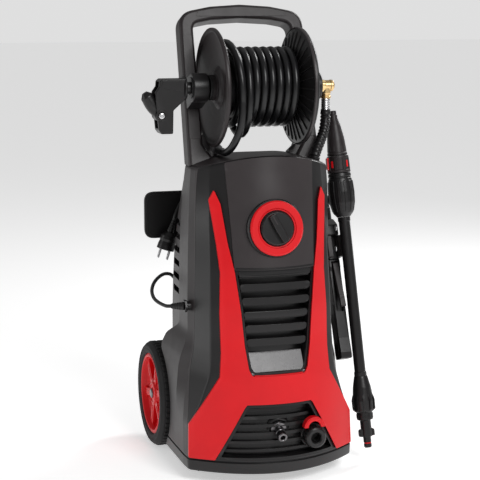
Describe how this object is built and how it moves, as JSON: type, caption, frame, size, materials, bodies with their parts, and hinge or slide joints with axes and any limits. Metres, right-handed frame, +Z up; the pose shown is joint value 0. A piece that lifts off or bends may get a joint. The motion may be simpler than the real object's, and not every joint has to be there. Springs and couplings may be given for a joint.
{
  "type": "pressure washer",
  "caption": "Upright electric pressure washer with red-framed front, rotary power dial, wheels, leaning carry frame with cranked hose reel, side lance and trigger gun, cable hank and plug.",
  "frame": {"origin": "on the ground, under the middle of the overall box without the free cords", "axes": "+Z up, -Y the front with the dial, +X the right side seen from the front, where the lance stands"},
  "size_m": [0.4438, 0.4205, 0.8773],
  "materials": {
    "charcoal_plastic": "satin moulded polypropylene",
    "black_plastic": "satin moulded polypropylene",
    "panel_grey": "fine textured",
    "red_plastic": "semi-gloss moulded",
    "rubber": "matt",
    "hose_rubber": "semi-gloss cover",
    "brass": "machined and forged",
    "steel": "zinc plated",
    "cast_metal": "die cast"
  },
  "bodies": {
    "chassis": {"rear_shell": "charcoal_plastic", "handle_frame": "charcoal_plastic", "accessory_holder": "charcoal_plastic", "front_shell": "black_plastic", "louvre_grille": "black_plastic", "connection_panel": "black_plastic", "base_tray": "black_plastic", "reel_bracket_left": "black_plastic", "reel_bracket_right": "black_plastic", "bend_sleeve": "black_plastic", "rotary_switch": "black_plastic", "inlet_pipe": "black_plastic", "inlet_coupling": "black_plastic", "cable_gland": "black_plastic", "cable_loop": "black_plastic", "cable_hank": "black_plastic", "cable_tail": "black_plastic", "plug_body": "black_plastic", "cable_hook_upper": "black_plastic", "cable_hook_lower": "black_plastic", "control_panel": "panel_grey", "capacitor": "panel_grey", "trim_frame": "red_plastic", "inlet_clip": "red_plastic", "dial_ring": "red_plastic", "foot_left": "rubber", "foot_right": "rubber", "hose_tail": "hose_rubber", "pump_hose": "hose_rubber", "hose_connector": "brass", "swivel_elbow": "brass", "wheel_axle": "steel", "feed_ferrule": "steel", "outlet_fitting": "steel", "plug_pin_left": "steel", "plug_pin_right": "steel", "motor": "cast_metal", "pump": "cast_metal"},
    "wheel_left": {"tyre_left": "rubber", "wheel_hub_left": "red_plastic"},
    "wheel_right": {"tyre_right": "rubber", "wheel_hub_right": "red_plastic"},
    "reel": {"reel_drum": "black_plastic", "reel_flange_left": "charcoal_plastic", "reel_flange_right": "black_plastic", "reel_axle_left": "black_plastic", "reel_axle_right": "black_plastic", "crank_arm": "black_plastic", "crank_screw": "steel", "hose_coil": "hose_rubber"},
    "crank_handle": {"crank_grip": "black_plastic"},
    "knob": {"power_knob": "black_plastic"},
    "lance": {"lance_base": "black_plastic", "lance_tube": "black_plastic", "lance_grip": "black_plastic"},
    "lance_head": {"lance_selector": "charcoal_plastic", "lance_nozzle": "charcoal_plastic"},
    "gun": {"gun_body": "black_plastic"},
    "trigger": {"gun_trigger": "charcoal_plastic"}
  },
  "joints": [
    {"name": "wheel_left_spin", "type": "hinge", "parent": "chassis", "child": "wheel_left", "pos_m": [-0.15, 0.105, 0.105], "axis": [1, 0, 0], "continuous": true},
    {"name": "wheel_right_spin", "type": "hinge", "parent": "chassis", "child": "wheel_right", "pos_m": [0.15, 0.105, 0.105], "axis": [1, 0, 0], "continuous": true},
    {"name": "reel_spin", "type": "hinge", "parent": "chassis", "child": "reel", "pos_m": [0, -0.042, 0.724], "axis": [1, 0, 0], "continuous": true},
    {"name": "crank_fold", "type": "hinge", "parent": "reel", "child": "crank_handle", "pos_m": [-0.186, -0.042, 0.675], "axis": [0, -1, 0], "range_deg": [0, 55]},
    {"name": "power_turn", "type": "hinge", "parent": "chassis", "child": "knob", "pos_m": [0, -0.168, 0.474], "axis": [0, -0.9903, 0.1392], "range_deg": [0, 90]},
    {"name": "lance_lift", "type": "slide", "parent": "chassis", "child": "lance", "axis": [-0.053, 0.1833, 0.9816], "range_m": [0, 0.03]},
    {"name": "pressure_twist", "type": "hinge", "parent": "lance", "child": "lance_head", "pos_m": [0.17914, -0.04752, 0.46973], "axis": [-0.053, 0.1833, 0.9816], "range_deg": [0, 90]},
    {"name": "gun_lift", "type": "slide", "parent": "chassis", "child": "gun", "axis": [-0.0181, 0.3449, 0.9385], "range_m": [0, 0.1]},
    {"name": "trigger_pull", "type": "hinge", "parent": "gun", "child": "trigger", "pos_m": [0.16568, -0.0328, 0.37282], "axis": [0.9998, 0.0062, 0.0169], "range_deg": [0, 8], "stiffness_Nm_per_rad": 1, "springref_deg": -2.86}
  ]
}
